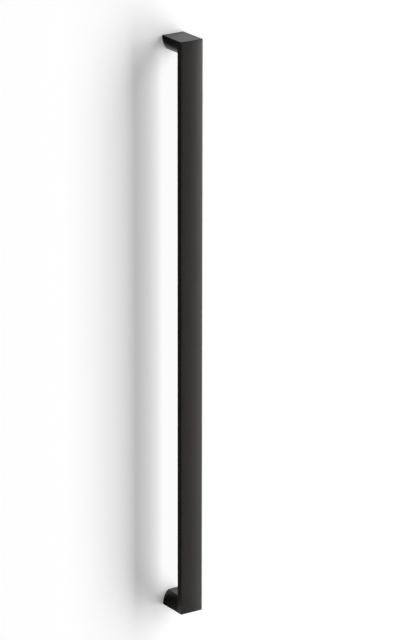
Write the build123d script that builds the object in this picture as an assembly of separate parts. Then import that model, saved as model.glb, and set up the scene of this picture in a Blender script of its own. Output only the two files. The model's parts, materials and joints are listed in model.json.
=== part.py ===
from build123d import *

import math
import os

# A straight door pull: a flat bar that stands off the door on two legs, all one piece of metal.
# X runs across the bar, Y points at the door and Z runs up the bar. The door's face is the plane Y = 0,
# and the origin lies on it, midway between the two fixing holes.

# Driving dimensions, in millimetres and degrees
FIXING_CENTRES = 580.0  # from one fixing hole's axis to the other's
BAR_WIDTH = 25.0
BAR_THICKNESS = 7.0
FINGER_ROOM = 27.0  # clear depth between the door and the back of the bar
LEG_HEIGHT = 15.0  # from the end face to the flat inner face, along the bar
LEG_LAND = 1.2  # straight start of a leg's side, next to the end face
LEG_SIDE_INSET = 6.25  # how far each side of a leg has drawn in where it meets the inner face
EDGE_RADIUS = 0.5  # on the edges that a hand can reach
HOLE_RADIUS = 3.0  # wall at the nominal radius of an M6 thread
HOLE_DEPTH = 20.0  # of the full bore, measured from the door
HOLE_MOUTH_CHAMFER = 0.5
DRILL_POINT_ANGLE = 118.0  # of the cone that a twist drill leaves at the bottom

# What follows from them
HALF_WIDTH = BAR_WIDTH / 2
BAR_MID_Y = -FINGER_ROOM - BAR_THICKNESS / 2
END_Z = (FIXING_CENTRES + LEG_HEIGHT) / 2  # each hole is centred on its leg
LAND_Z = END_Z - LEG_LAND
INNER_Z = END_Z - LEG_HEIGHT


def make_bar():
    """The flat grip bar. Its back edges at the two ends stay square, because the legs carry on from there."""
    bar = Pos(0, BAR_MID_Y, 0) * Box(BAR_WIDTH, BAR_THICKNESS, 2 * END_Z)
    back = bar.faces().sort_by(Axis.Y)[-1]
    square_edges = back.edges().filter_by(Axis.X)
    return fillet(bar.edges() - square_edges, EDGE_RADIUS)


def make_leg():
    """The upper leg, from the middle of the bar out to the door, flush with the bar's end and sides.

    Its section has the full width at the end face and along two short lands. From there its sides draw in
    on tangent arcs, and they stop in a crease at the narrower flat inner face.
    """
    with BuildSketch(Plane.XZ) as section:
        with BuildLine():
            end = Line((0, END_Z), (HALF_WIDTH, END_Z))
            land = Line(end @ 1, (HALF_WIDTH, LAND_Z))
            side = TangentArc(land @ 1, (HALF_WIDTH - LEG_SIDE_INSET, INNER_Z), tangent=land % 1)
            Line(side @ 1, (0, INNER_Z))
            mirror(about=Plane.YZ)
        make_face()
    leg = extrude(section.sketch, -BAR_MID_Y, dir=(0, -1, 0))
    creases, _, end_corners = leg.edges().filter_by(Axis.Y).group_by(Axis.Z)
    return fillet(creases + end_corners, EDGE_RADIUS)


def make_hole():
    """A blind fixing hole on the Y axis: chamfered mouth at the door, plain bore, drill point."""
    point_depth = HOLE_RADIUS / math.tan(math.radians(DRILL_POINT_ANGLE / 2))
    outline = Polyline(
        (0, 0),
        (HOLE_RADIUS + HOLE_MOUTH_CHAMFER, 0),
        (HOLE_RADIUS, -HOLE_MOUTH_CHAMFER),
        (HOLE_RADIUS, -HOLE_DEPTH),
        (0, -HOLE_DEPTH - point_depth),
        close=True,
    )
    return revolve(make_face(outline), Axis.Y)


def make_handle():
    leg = make_leg()
    handle = make_bar() + leg + mirror(leg, Plane.XY)
    hole = make_hole()
    for hole_z in (-FIXING_CENTRES / 2, FIXING_CENTRES / 2):
        handle -= Pos(0, 0, hole_z) * hole
    return handle


os.makedirs("parts", exist_ok=True)
export_step(make_handle(), "parts/pull_handle.step")
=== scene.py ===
import json
from math import cos, pi, radians, sin, tan

import bpy
from bpy.props import FloatProperty, FloatVectorProperty, IntProperty, PointerProperty
from bpy.types import Operator, Panel, PropertyGroup
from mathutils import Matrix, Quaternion, Vector


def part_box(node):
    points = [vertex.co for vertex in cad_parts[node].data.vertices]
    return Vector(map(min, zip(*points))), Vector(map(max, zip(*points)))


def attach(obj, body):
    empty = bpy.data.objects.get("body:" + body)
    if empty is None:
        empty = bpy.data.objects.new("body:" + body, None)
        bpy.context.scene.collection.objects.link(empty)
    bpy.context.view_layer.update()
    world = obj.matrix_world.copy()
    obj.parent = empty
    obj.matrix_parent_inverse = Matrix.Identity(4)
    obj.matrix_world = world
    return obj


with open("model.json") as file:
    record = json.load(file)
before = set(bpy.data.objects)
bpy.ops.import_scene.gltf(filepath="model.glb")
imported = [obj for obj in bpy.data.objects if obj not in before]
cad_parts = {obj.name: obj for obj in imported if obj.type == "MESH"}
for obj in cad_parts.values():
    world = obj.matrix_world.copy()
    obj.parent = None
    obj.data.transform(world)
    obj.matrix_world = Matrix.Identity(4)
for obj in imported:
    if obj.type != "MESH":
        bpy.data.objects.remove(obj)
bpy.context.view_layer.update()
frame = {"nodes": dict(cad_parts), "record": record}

bl_info = {
    "name": "Door Pull Looks",
    "version": (1, 0, 0),
    "blender": (4, 5, 0),
    "location": "3D View > Sidebar > Door Pull",
    "description": "Coats a straight door pull, cuts the threads in its feet and lights it on a white wall",
    "category": "Object",
}

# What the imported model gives: its box, its one node, and the two holes that take the fixing bolts
HANDLE_NODE = "pull_handle"
BODY = "root"
FIXING = next(mount for mount in frame["record"]["mounts"] if mount["name"] == "fixing_holes")
HOLE_RADIUS = FIXING["dims"]["hole_r_mm"] / 1000
HOLE_SPACING = FIXING["dims"]["spacing_y_mm"] / 1000

# The ridge of a metric thread in a hole, in shares of its pitch
RIDGE_HEIGHT = 5 / 8 * cos(radians(30))
RIDGE_ROOT_WIDTH = 7 / 8
RIDGE_CREST_WIDTH = 1 / 4
RIDGE_MERGE_DISTANCE = 1 / 1000
RIDGE_SMOOTH_ANGLE = radians(25)  # edges that turn by less than this are shaded smooth

# Most values of a noise lie between these two
NOISE_LOW = 0.3
NOISE_HIGH = 0.7

WHITE = (1, 1, 1)
BLACK = (0, 0, 0)
FACING_ROOM = (pi / 2, 0, 0)  # turn of a plane that stands upright and faces the room, as the wall does


class CoatSettings(PropertyGroup):
    """The black powder coat, and the bare bores that were plugged while it was sprayed."""

    colour: FloatVectorProperty(
        name="Coat", description="The coat's main colour", subtype="COLOR", size=3, min=0, max=1,
        default=(0.0104, 0.0087, 0.0067))
    thick_colour: FloatVectorProperty(
        name="Thick Coat", description="Where the powder lies a little thicker", subtype="COLOR", size=3,
        min=0, max=1, default=(0.0115, 0.0098, 0.0077))
    cloud_size: FloatProperty(
        name="Clouds", description="Size of the slow changes in tone", default=0.030, unit="LENGTH")
    roughness: FloatProperty(
        name="Roughness", description="How matt the coat is", default=0.42, min=0, max=1, subtype="FACTOR")
    roughness_spread: FloatProperty(
        name="Roughness Spread", description="How far the roughness strays to either side", default=0.02,
        min=0, max=0.2, subtype="FACTOR")
    peel_size: FloatProperty(
        name="Peel", description="Width of the coat's soft waves", default=0.0024, unit="LENGTH")
    peel_height: FloatProperty(
        name="Peel Height", description="Height of the coat's soft waves", default=0.000010, unit="LENGTH")
    grain_size: FloatProperty(
        name="Grain", description="Width of the coat's fine grain", default=0.00035, unit="LENGTH")
    grain_height: FloatProperty(
        name="Grain Height", description="Height of the coat's fine grain", default=0.000018, unit="LENGTH")
    bare_depth: FloatProperty(
        name="Bare Depth", description="How deep below the feet the bores are bare", default=0.025,
        unit="LENGTH")
    bare_rim: FloatProperty(
        name="Bare Rim", description="Width of the bare ring around a bore", default=0.00012, unit="LENGTH")


class ThreadSettings(PropertyGroup):
    """The bolt thread in each fixing hole, and its bare steel."""

    pitch: FloatProperty(
        name="Pitch", description="Rise of one turn", default=0.001, unit="LENGTH")
    start: FloatProperty(
        name="Start", description="Depth at which the thread starts, below the mouth's chamfer",
        default=0.0005, unit="LENGTH")
    turns: IntProperty(
        name="Turns", description="How many turns the thread makes", default=16, min=1, max=19)
    steps: IntProperty(
        name="Steps", description="Flat faces around one turn", default=40, min=8, max=96)
    colour: FloatVectorProperty(
        name="Steel", description="Colour of the bare steel", subtype="COLOR", size=3, min=0, max=1,
        default=(0.36, 0.35, 0.335))
    stain: FloatProperty(
        name="Stain", description="How bright the steel is in its darker marks", default=0.8, min=0, max=1,
        subtype="FACTOR")
    roughness: FloatProperty(
        name="Roughness", description="How dull the cut steel is", default=0.34, min=0, max=1,
        subtype="FACTOR")
    roughness_spread: FloatProperty(
        name="Roughness Spread", description="How far the roughness strays to either side", default=0.06,
        min=0, max=0.2, subtype="FACTOR")
    chatter_size: FloatProperty(
        name="Chatter", description="Width of the marks that the tap leaves", default=0.00012, unit="LENGTH")
    chatter_height: FloatProperty(
        name="Chatter Height", description="Height of those marks", default=0.000004, unit="LENGTH")


class StageSettings(PropertyGroup):
    """The white wall behind the pull, the floor, the light, and what only reflections show."""

    layer_gap: FloatProperty(
        name="Layer Gap", description="Between flat things that would otherwise lie in one plane",
        default=0.00005, unit="LENGTH")
    wall_colour: FloatVectorProperty(
        name="Wall", description="Colour of the wall", subtype="COLOR", size=3, min=0, max=1,
        default=(0.96, 0.96, 0.96))
    wall_glow: FloatProperty(
        name="Wall Glow", description="White that the wall shows on top of the light that falls on it",
        default=0.24, min=0)
    wall_opening: FloatProperty(
        name="Wall Opening", description="Width of the openings in the wall behind the fixing holes",
        default=0.010, unit="LENGTH")
    wall_width: FloatProperty(
        name="Wall Width", description="Width and height of the wall", default=9.0, unit="LENGTH")
    floor_colour: FloatVectorProperty(
        name="Floor", description="Colour of the floor", subtype="COLOR", size=3, min=0, max=1,
        default=(0.80, 0.80, 0.79))
    floor_drop: FloatProperty(
        name="Floor Drop", description="From the pull's middle down to the floor", default=2.2,
        unit="LENGTH")
    floor_width: FloatProperty(
        name="Floor Width", description="Width and depth of the floor", default=40.0, unit="LENGTH")
    key_power: FloatProperty(
        name="Key Power", description="Power of the large lamp on the right", default=2400.0, unit="POWER")
    key_distance: FloatProperty(
        name="Key Distance", description="From the pull to the large lamp", default=8.0, unit="LENGTH")
    key_near_angle: FloatProperty(
        name="Key Near Angle", description="Between the wall's normal and the lamp's edge by the wall",
        default=radians(73), subtype="ANGLE")
    key_far_angle: FloatProperty(
        name="Key Far Angle", description="Between the wall's normal and the lamp's edge in the room",
        default=radians(43), subtype="ANGLE")
    key_height: FloatProperty(
        name="Key Height", description="Height of the large lamp", default=22.0, unit="LENGTH")
    panel_strength: FloatProperty(
        name="Panel Strength", description="Brightness of the panel that shows in the bar's face",
        default=5.1, min=0)
    panel_distance: FloatProperty(
        name="Panel Distance", description="From the bar's right edge to the panel", default=0.018,
        unit="LENGTH")
    panel_angle: FloatProperty(
        name="Panel Angle", description="Between the panel's place and the normal of the bar's face",
        default=radians(62), subtype="ANGLE")
    panel_lean: FloatProperty(
        name="Panel Lean", description="How far the top of the panel leans towards the bar",
        default=radians(0.9), subtype="ANGLE")
    panel_width: FloatProperty(
        name="Panel Width", description="Width of the panel", default=0.018, unit="LENGTH")
    panel_height: FloatProperty(
        name="Panel Height", description="From the level of the pull's top end down to the panel's lower end",
        default=0.66, unit="LENGTH")
    screen_width: FloatProperty(
        name="Screen Width", description="Width of the black screen between the panel and the legs",
        default=0.12, unit="LENGTH")
    screen_gap: FloatProperty(
        name="Screen Gap", description="From the bar's right edge to the black screen", default=0.001,
        unit="LENGTH")
    # The dark card is a painted shade, seen only in reflections, that darkens the pull's left side
    card_reach: FloatProperty(
        name="Card Reach", description="How far the dark card reaches to the left of the pull", default=0.25,
        unit="LENGTH")
    card_overhang: FloatProperty(
        name="Card Overhang", description="How far the dark card reaches past the pull's ends", default=0.010,
        unit="LENGTH")
    sky_front: FloatProperty(
        name="Sky In Front", description="Strength of the sky that the wall faces", default=0.14, min=0)
    sky_behind: FloatProperty(
        name="Sky Behind", description="Strength of the sky behind the wall", default=1.0, min=0)
    sky_blend: FloatProperty(
        name="Sky Blend", description="Width of the change between them, as a share of the sky's radius",
        default=0.1, min=0, max=1, subtype="FACTOR")


class CameraSettings(PropertyGroup):
    """Where the camera stands, found from the corners of the pull in the picture."""

    azimuth: FloatProperty(
        name="Azimuth", description="Turn around the pull, from straight in front", default=radians(-33.227),
        subtype="ANGLE")
    elevation: FloatProperty(
        name="Elevation", description="Height over the horizon", default=radians(18.728), subtype="ANGLE")
    roll: FloatProperty(
        name="Roll", description="Turn about the line of sight", default=radians(0.089), subtype="ANGLE")
    distance: FloatProperty(
        name="Distance", description="From the camera to the point it aims at", default=4.0916,
        unit="LENGTH")
    aim: FloatVectorProperty(
        name="Aim", description="The point in the middle of the picture", subtype="XYZ", unit="LENGTH",
        default=(0.03184, 0.0, -0.00176))
    lens: FloatProperty(
        name="Lens", description="Focal length on a sensor of 36 mm", default=231.14, unit="CAMERA")


def deselect_all():
    bpy.ops.object.select_all(action="DESELECT")


def select_only(piece):
    deselect_all()
    piece.select_set(True)
    bpy.context.view_layer.objects.active = piece


def apply_place(piece):
    """Moves an object's place, turn and scale into its mesh."""
    select_only(piece)
    bpy.ops.object.transform_apply(location=True, rotation=True, scale=True)


def select_vertices(piece, wanted):
    """Goes into edit mode with only those vertices selected whose place passes the test."""
    bpy.ops.object.mode_set(mode="EDIT")
    bpy.ops.mesh.select_mode(type="VERT")
    bpy.ops.mesh.select_all(action="DESELECT")
    bpy.ops.object.mode_set(mode="OBJECT")
    for vertex in piece.data.vertices:
        vertex.select = wanted(vertex.co)
    bpy.ops.object.mode_set(mode="EDIT")


def new_material(name):
    """A node material whose one shader is already joined to the output."""
    material = bpy.data.materials.new(name)
    material.use_nodes = True
    tree = material.node_tree
    return material, tree, tree.nodes["Principled BSDF"]


def new_matt_material(name, colour):
    """A material of one plain colour with no gloss at all, for the stage."""
    material, tree, shader = new_material(name)
    shader.inputs["Base Color"].default_value = (*colour, 1)
    shader.inputs["Roughness"].default_value = 1
    shader.inputs["Specular IOR Level"].default_value = 0
    return material, tree, shader


def add_place(tree):
    """The place on a piece, in metres from the pull's origin."""
    return tree.nodes.new("ShaderNodeTexCoord").outputs["Object"]


def split_axes(tree, place):
    axes = tree.nodes.new("ShaderNodeSeparateXYZ")
    tree.links.new(place, axes.inputs["Vector"])
    return axes.outputs


def add_noise(tree, place, size, detail):
    """Noise with features of about that size, in metres."""
    noise = tree.nodes.new("ShaderNodeTexNoise")
    noise.inputs["Scale"].default_value = 1 / size
    noise.inputs["Detail"].default_value = detail
    tree.links.new(place, noise.inputs["Vector"])
    return noise.outputs["Fac"]


def add_bump(tree, height, distance, under=None):
    """Bump of that full height, in metres, laid over another bump's normal if one is given."""
    bump = tree.nodes.new("ShaderNodeBump")
    bump.inputs["Distance"].default_value = distance
    tree.links.new(height, bump.inputs["Height"])
    if under is not None:
        tree.links.new(under, bump.inputs["Normal"])
    return bump.outputs["Normal"]


def add_range(tree, value, low_in, high_in, low_out, high_out):
    """Carries a value from one range over to another, and keeps it inside."""
    node = tree.nodes.new("ShaderNodeMapRange")
    node.inputs["From Min"].default_value = low_in
    node.inputs["From Max"].default_value = high_in
    node.inputs["To Min"].default_value = low_out
    node.inputs["To Max"].default_value = high_out
    tree.links.new(value, node.inputs["Value"])
    return node.outputs["Result"]


def spread_noise(tree, noise, low, high):
    """Stretches a noise over a range."""
    return add_range(tree, noise, NOISE_LOW, NOISE_HIGH, low, high)


def add_math(tree, operation, *values):
    """A Math node. Each value is an output socket or a plain number."""
    node = tree.nodes.new("ShaderNodeMath")
    node.operation = operation
    for socket, value in zip(node.inputs, values):
        if isinstance(value, bpy.types.NodeSocket):
            tree.links.new(value, socket)
        else:
            socket.default_value = value
    return node.outputs["Value"]


def add_colour_mix(tree, factor, first, second):
    """Mixes two colours, each an output socket or a plain colour."""
    node = tree.nodes.new("ShaderNodeMix")
    node.data_type = "RGBA"
    tree.links.new(factor, node.inputs["Factor"])
    for name, colour in (("A", first), ("B", second)):
        socket = next(item for item in node.inputs if item.name == name and item.type == "RGBA")
        if isinstance(colour, bpy.types.NodeSocket):
            tree.links.new(colour, socket)
        else:
            socket.default_value = (*colour, 1)
    return next(item for item in node.outputs if item.type == "RGBA")


def add_seen_mask(tree):
    """One for what is seen, straight on, mirrored or through glass, and nought for the light on the pull."""
    path = tree.nodes.new("ShaderNodeLightPath").outputs
    mirrored = add_math(tree, "MAXIMUM", path["Is Glossy Ray"], path["Is Transmission Ray"])
    return add_math(tree, "MAXIMUM", path["Is Camera Ray"], mirrored)


def add_glow(tree, strength):
    """White light of that strength, an output socket."""
    glow = tree.nodes.new("ShaderNodeEmission")
    glow.inputs["Color"].default_value = (*WHITE, 1)
    tree.links.new(strength, glow.inputs["Strength"])
    return glow.outputs["Emission"]


def mix_shaders(tree, factor, first, second):
    mix = tree.nodes.new("ShaderNodeMixShader")
    tree.links.new(factor, mix.inputs["Fac"])
    tree.links.new(first, mix.inputs[1])
    tree.links.new(second, mix.inputs[2])
    return mix.outputs["Shader"]


def keep_front(tree, front):
    """Leaves only the front of a surface. Seen from behind, the surface isn't there."""
    clear = tree.nodes.new("ShaderNodeBsdfTransparent")
    side = tree.nodes.new("ShaderNodeNewGeometry").outputs["Backfacing"]
    return mix_shaders(tree, side, front, clear.outputs["BSDF"])


def join_output(tree, shader):
    output = next(node for node in tree.nodes if node.type.startswith("OUTPUT"))
    tree.links.new(shader, output.inputs["Surface"])


def add_bore_mask(tree, place, coat):
    """One inside the two bores and nought on all the rest."""
    axes = split_axes(tree, place)
    above_hole = add_math(tree, "SUBTRACT", add_math(tree, "ABSOLUTE", axes["Z"]), HOLE_SPACING / 2)
    across = add_math(tree, "MULTIPLY", axes["X"], axes["X"])
    along = add_math(tree, "MULTIPLY", above_hole, above_hole)
    radius = add_math(tree, "SQRT", add_math(tree, "ADD", across, along))
    near_axis = add_math(tree, "LESS_THAN", radius, HOLE_RADIUS + coat.bare_rim)
    near_foot = add_math(tree, "GREATER_THAN", axes["Y"], -coat.bare_depth)
    return add_math(tree, "MULTIPLY", near_axis, near_foot)


def make_coat_material(coat, thread):
    """Black powder coat: a fine grain on soft waves, cloudy in tone and gloss. The bores are bare steel."""
    material, tree, shader = new_material("black_powder_coat")
    place = add_place(tree)
    bare = add_bore_mask(tree, place, coat)
    clouds = add_noise(tree, place, coat.cloud_size, detail=3)
    black = add_colour_mix(tree, clouds, coat.colour, coat.thick_colour)
    tree.links.new(add_colour_mix(tree, bare, black, thread.colour), shader.inputs["Base Color"])
    tree.links.new(bare, shader.inputs["Metallic"])
    lowest = coat.roughness - coat.roughness_spread
    highest = coat.roughness + coat.roughness_spread
    tree.links.new(spread_noise(tree, clouds, lowest, highest), shader.inputs["Roughness"])
    peel = add_noise(tree, place, coat.peel_size, detail=1)
    waves = add_bump(tree, peel, coat.peel_height)
    grain = add_noise(tree, place, coat.grain_size, detail=2)
    tree.links.new(add_bump(tree, grain, coat.grain_height, waves), shader.inputs["Normal"])
    return material


def make_steel_material(thread):
    """Bare cut steel with the fine marks of the tap."""
    material, tree, shader = new_material("cut_steel")
    shader.inputs["Metallic"].default_value = 1
    chatter = add_noise(tree, add_place(tree), thread.chatter_size, detail=2)
    stained = [thread.stain * part for part in thread.colour]
    steel = add_colour_mix(tree, spread_noise(tree, chatter, 0, 1), thread.colour, stained)
    tree.links.new(steel, shader.inputs["Base Color"])
    lowest = thread.roughness - thread.roughness_spread
    highest = thread.roughness + thread.roughness_spread
    tree.links.new(spread_noise(tree, chatter, lowest, highest), shader.inputs["Roughness"])
    tree.links.new(add_bump(tree, chatter, thread.chatter_height), shader.inputs["Normal"])
    return material


def make_wall_material(stage):
    """Plain matt paint with a glow. From behind, the feet show through the wall."""
    material, tree, shader = new_matt_material("wall_paint", stage.wall_colour)
    glow = add_glow(tree, add_math(tree, "MULTIPLY", add_seen_mask(tree), stage.wall_glow))
    paint = tree.nodes.new("ShaderNodeAddShader")
    tree.links.new(shader.outputs["BSDF"], paint.inputs[0])
    tree.links.new(glow, paint.inputs[1])
    join_output(tree, keep_front(tree, paint.outputs["Shader"]))
    material.cycles.emission_sampling = "NONE"
    return material


def make_floor_material(stage):
    """Plain matt paint, which shows as clean white. From below, the pull shows through the floor."""
    material, tree, shader = new_matt_material("floor_paint", stage.floor_colour)
    seen = add_seen_mask(tree)
    paint = mix_shaders(tree, seen, shader.outputs["BSDF"], add_glow(tree, seen))
    join_output(tree, keep_front(tree, paint))
    material.cycles.emission_sampling = "NONE"
    return material


def make_panel_material(stage):
    """A glow that lights nothing by itself and only shows where it is mirrored."""
    material, _, shader = new_matt_material("panel_light", BLACK)
    shader.inputs["Emission Color"].default_value = (*WHITE, 1)
    shader.inputs["Emission Strength"].default_value = stage.panel_strength
    material.cycles.emission_sampling = "NONE"
    return material


def make_screen_material():
    material, _, _ = new_matt_material("screen_cloth", BLACK)
    return material


def make_card_material(dark_x, clear_x):
    """Black at one place along X, and clear from the other one on: a painted shade, seen only in reflections.
    """
    material, tree, shader = new_matt_material("painted_shade_card", BLACK)
    darkness = add_range(tree, split_axes(tree, add_place(tree))["X"], clear_x, dark_x, 0, 1)
    clear = tree.nodes.new("ShaderNodeBsdfTransparent")
    join_output(tree, mix_shaders(tree, darkness, clear.outputs["BSDF"], shader.outputs["BSDF"]))
    return material


def model_thread(thread):
    """One thread on the Y axis: its section is screwed up the bore and closed at both ends."""
    depth = RIDGE_HEIGHT * thread.pitch
    root_width = RIDGE_ROOT_WIDTH * thread.pitch
    crest_width = RIDGE_CREST_WIDTH * thread.pitch
    crest_x = HOLE_RADIUS - depth
    middle_x = HOLE_RADIUS - depth / 2
    lowest_y = -thread.start - thread.turns * thread.pitch - root_width / 2
    deselect_all()
    bpy.ops.mesh.primitive_plane_add(size=1, location=(middle_x, lowest_y, 0))
    piece = bpy.context.object
    piece.scale = (depth, root_width, 1)
    apply_place(piece)
    select_vertices(piece, lambda place: place.x < middle_x)
    bpy.ops.transform.resize(
        value=(1, crest_width / root_width, 1), center_override=(crest_x, lowest_y, 0))
    bpy.ops.object.mode_set(mode="OBJECT")
    screw = piece.modifiers.new("screw", "SCREW")
    screw.axis = "Y"
    screw.screw_offset = thread.pitch
    screw.iterations = thread.turns
    screw.steps = thread.steps
    screw.render_steps = thread.steps
    bpy.ops.object.modifier_apply(modifier=screw.name)
    bpy.ops.object.mode_set(mode="EDIT")
    bpy.ops.mesh.select_all(action="SELECT")
    bpy.ops.mesh.fill_holes(sides=4)
    bpy.ops.mesh.select_all(action="SELECT")
    bpy.ops.mesh.remove_doubles(threshold=RIDGE_MERGE_DISTANCE * thread.pitch)
    bpy.ops.mesh.normals_make_consistent(inside=False)
    bpy.ops.object.mode_set(mode="OBJECT")
    bpy.ops.object.shade_smooth_by_angle(angle=RIDGE_SMOOTH_ANGLE)
    return piece


class DOORPULL_OT_coat_handle(Operator):
    """Gives the bar and its legs their black coat"""

    bl_idname = "door_pull.coat_handle"
    bl_label = "Coat Handle"

    def execute(self, context):
        scene = context.scene
        material = make_coat_material(scene.pull_coat, scene.pull_thread)
        for slot in frame["nodes"][HANDLE_NODE].material_slots:
            slot.material = material
        return {"FINISHED"}


class DOORPULL_OT_cut_threads(Operator):
    """Models the bolt thread in the two fixing holes"""

    bl_idname = "door_pull.cut_threads"
    bl_label = "Cut Threads"

    def execute(self, context):
        thread = context.scene.pull_thread
        lower = model_thread(thread)
        lower.data.materials.append(make_steel_material(thread))
        lower.location = (0, 0, -HOLE_SPACING / 2)
        select_only(lower)
        bpy.ops.object.duplicate(linked=False)
        upper = context.object
        upper.location = (0, 0, HOLE_SPACING / 2)
        for piece, name in ((lower, "lower_fixing_thread"), (upper, "upper_fixing_thread")):
            apply_place(piece)
            piece.name = name
            piece.data.name = name
            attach(piece, BODY)
        return {"FINISHED"}


def add_plane(name, middle, turn, width, height, material):
    """A flat thing of the stage, with its place in its mesh."""
    deselect_all()
    bpy.ops.mesh.primitive_plane_add(size=1, location=middle, rotation=turn)
    plane = bpy.context.object
    plane.name = name
    plane.scale = (width, height, 1)
    apply_place(plane)
    plane.data.materials.append(material)
    return plane


def show_in_reflections_only(plane):
    plane.visible_camera = False
    plane.visible_diffuse = False
    plane.visible_shadow = False
    plane.visible_transmission = False


def add_floor(stage):
    """The pale floor. It shows to the camera, but throws no white on the pull from below."""
    floor = add_plane("floor", (0, 0, -stage.floor_drop), (0, 0, 0), stage.floor_width, stage.floor_width,
                      make_floor_material(stage))
    floor.visible_glossy = False
    floor.visible_diffuse = False
    floor.visible_shadow = False


def open_wall(wall, width):
    """Cuts the wall away behind the two fixing holes, so that light from behind reaches into them."""
    cuts = [((side * width / 2, 0, 0), (1, 0, 0)) for side in (-1, 1)]
    cuts += [((0, 0, hole * HOLE_SPACING / 2 + side * width / 2), (0, 0, 1))
             for hole in (-1, 1) for side in (-1, 1)]
    select_only(wall)
    bpy.ops.object.mode_set(mode="EDIT")
    for point, normal in cuts:
        bpy.ops.mesh.select_all(action="SELECT")
        bpy.ops.mesh.bisect(plane_co=point, plane_no=normal)
    bpy.ops.mesh.select_mode(type="FACE")
    bpy.ops.mesh.select_all(action="DESELECT")
    bpy.ops.object.mode_set(mode="OBJECT")
    for face in wall.data.polygons:
        beside = abs(face.center.x)
        above = abs(abs(face.center.z) - HOLE_SPACING / 2)
        face.select = max(beside, above) < width / 2
    bpy.ops.object.mode_set(mode="EDIT")
    bpy.ops.mesh.delete(type="FACE")
    bpy.ops.object.mode_set(mode="OBJECT")


def add_wall(stage):
    """The white wall up from the floor, a hair in front of the feet's own plane."""
    middle = (0, -stage.layer_gap, stage.wall_width / 2 - stage.floor_drop)
    wall = add_plane("wall", middle, FACING_ROOM, stage.wall_width, stage.wall_width,
                     make_wall_material(stage))
    open_wall(wall, stage.wall_opening)


def add_card(stage):
    """A dark card on the wall to the left of the pull, seen only in reflections: a painted shade that the
    pull's left side mirrors, which keeps that side dark.
    """
    low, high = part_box(HANDLE_NODE)
    outer_x = low.x - stage.card_reach
    middle = ((outer_x + low.x) / 2, -2 * stage.layer_gap, (low.z + high.z) / 2)
    height = high.z - low.z + 2 * stage.card_overhang
    card = add_plane("painted_shade_card", middle, FACING_ROOM, stage.card_reach, height,
                     make_card_material(low.x, outer_x))
    show_in_reflections_only(card)


def add_panel(stage):
    """A thin upright panel of light at the right of the bar, which shows in the bar's face."""
    low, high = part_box(HANDLE_NODE)
    way = Vector((sin(stage.panel_angle), -cos(stage.panel_angle), 0))
    edge = Vector((high.x, low.y, high.z - stage.panel_height / 2))
    turn = way.to_track_quat("Z", "Y").to_euler()
    turn.rotate_axis("X", -stage.panel_lean)
    panel = add_plane("light_panel", edge + stage.panel_distance * way, turn, stage.panel_width,
                      stage.panel_height, make_panel_material(stage))
    show_in_reflections_only(panel)


def add_screen(stage):
    """A black screen level with the bar's face, which hides the panel from the legs and the bar's back."""
    low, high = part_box(HANDLE_NODE)
    middle = (high.x + stage.screen_gap + stage.screen_width / 2, low.y - stage.layer_gap,
              high.z - stage.panel_height / 2)
    screen = add_plane("black_screen", middle, FACING_ROOM, stage.screen_width, stage.panel_height,
                       make_screen_material())
    show_in_reflections_only(screen)


def add_key_lamp(stage):
    """A large upright lamp on the right, which shines across the wall and isn't mirrored."""
    near_edge = stage.key_distance / tan(stage.key_near_angle)
    far_edge = stage.key_distance / tan(stage.key_far_angle)
    lamp = bpy.data.lights.new("key_lamp", "AREA")
    lamp.shape = "RECTANGLE"
    lamp.size = far_edge - near_edge
    lamp.size_y = stage.key_height
    lamp.energy = stage.key_power
    key = bpy.data.objects.new("key_lamp", lamp)
    key.location = (stage.key_distance, -(near_edge + far_edge) / 2, 0)
    key.rotation_euler = Vector((-1, 0, 0)).to_track_quat("-Z", "Y").to_euler()
    key.visible_glossy = False
    bpy.context.scene.collection.objects.link(key)


def set_sky(stage):
    """A dim, even sky in front of the wall and a bright one behind it.

    The camera and clear glass see plain white instead.
    """
    world = bpy.data.worlds.new("studio_sky")
    world.use_nodes = True
    tree = world.node_tree
    way = tree.nodes.new("ShaderNodeTexCoord").outputs["Generated"]
    backwards = split_axes(tree, way)["Y"]
    strength = add_range(tree, backwards, 0, stage.sky_blend, stage.sky_front, stage.sky_behind)
    studio = tree.nodes["Background"]
    studio.inputs["Color"].default_value = (*WHITE, 1)
    tree.links.new(strength, studio.inputs["Strength"])
    plain = tree.nodes.new("ShaderNodeBackground")
    plain.inputs["Color"].default_value = (*WHITE, 1)
    path = tree.nodes.new("ShaderNodeLightPath").outputs
    seen = add_math(tree, "MAXIMUM", path["Is Camera Ray"], path["Is Transmission Ray"])
    join_output(tree, mix_shaders(tree, seen, studio.outputs["Background"], plain.outputs["Background"]))
    bpy.context.scene.world = world


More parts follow.
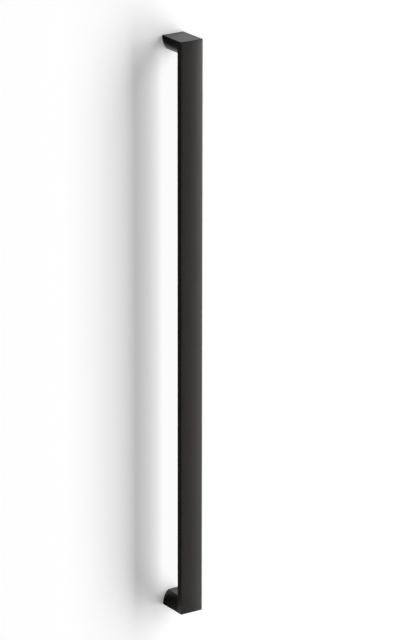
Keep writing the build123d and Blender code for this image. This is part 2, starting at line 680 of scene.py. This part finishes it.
def add_camera(settings):
    lens = bpy.data.cameras.new("camera")
    lens.lens = settings.lens
    camera = bpy.data.objects.new("camera", lens)
    back = Vector((
        sin(settings.azimuth) * cos(settings.elevation),
        -cos(settings.azimuth) * cos(settings.elevation),
        sin(settings.elevation)))
    camera.location = Vector(settings.aim) + settings.distance * back
    level = (-back).to_track_quat("-Z", "Y")
    camera.rotation_euler = (level @ Quaternion((0, 0, 1), settings.roll)).to_euler()
    bpy.context.scene.collection.objects.link(camera)
    bpy.context.scene.camera = camera


class DOORPULL_OT_set_stage(Operator):
    """Sets up the wall, the floor, the light and the camera"""

    bl_idname = "door_pull.set_stage"
    bl_label = "Set Stage"

    def execute(self, context):
        scene = context.scene
        for add_part in (add_floor, add_wall, add_card, add_panel, add_screen, add_key_lamp, set_sky):
            add_part(scene.pull_stage)
        add_camera(scene.pull_camera)
        scene.view_settings.view_transform = "Standard"
        return {"FINISHED"}


OPERATORS = (DOORPULL_OT_coat_handle, DOORPULL_OT_cut_threads, DOORPULL_OT_set_stage)
SETTINGS = {
    "pull_coat": CoatSettings,
    "pull_thread": ThreadSettings,
    "pull_stage": StageSettings,
    "pull_camera": CameraSettings,
}


class DOORPULL_PT_sidebar(Panel):
    """Lists the steps that dress the pull, with the sizes and colours behind them"""

    bl_label = "Door Pull"
    bl_idname = "DOORPULL_PT_sidebar"
    bl_space_type = "VIEW_3D"
    bl_region_type = "UI"
    bl_category = "Door Pull"

    def draw(self, context):
        for operator in OPERATORS:
            self.layout.operator(operator.bl_idname)
        for name in SETTINGS:
            box = self.layout.box()
            settings = getattr(context.scene, name)
            for item in settings.bl_rna.properties:
                if item.identifier not in ("name", "rna_type"):
                    box.prop(settings, item.identifier)


def register():
    for item in (*SETTINGS.values(), *OPERATORS, DOORPULL_PT_sidebar):
        bpy.utils.register_class(item)
    for name, item in SETTINGS.items():
        setattr(bpy.types.Scene, name, PointerProperty(type=item))


def unregister():
    for name in SETTINGS:
        delattr(bpy.types.Scene, name)
    for item in reversed((*SETTINGS.values(), *OPERATORS, DOORPULL_PT_sidebar)):
        bpy.utils.unregister_class(item)


def main():
    register()
    bpy.ops.door_pull.coat_handle()
    bpy.ops.door_pull.cut_threads()
    bpy.ops.door_pull.set_stage()


if __name__ == "__main__":
    main()
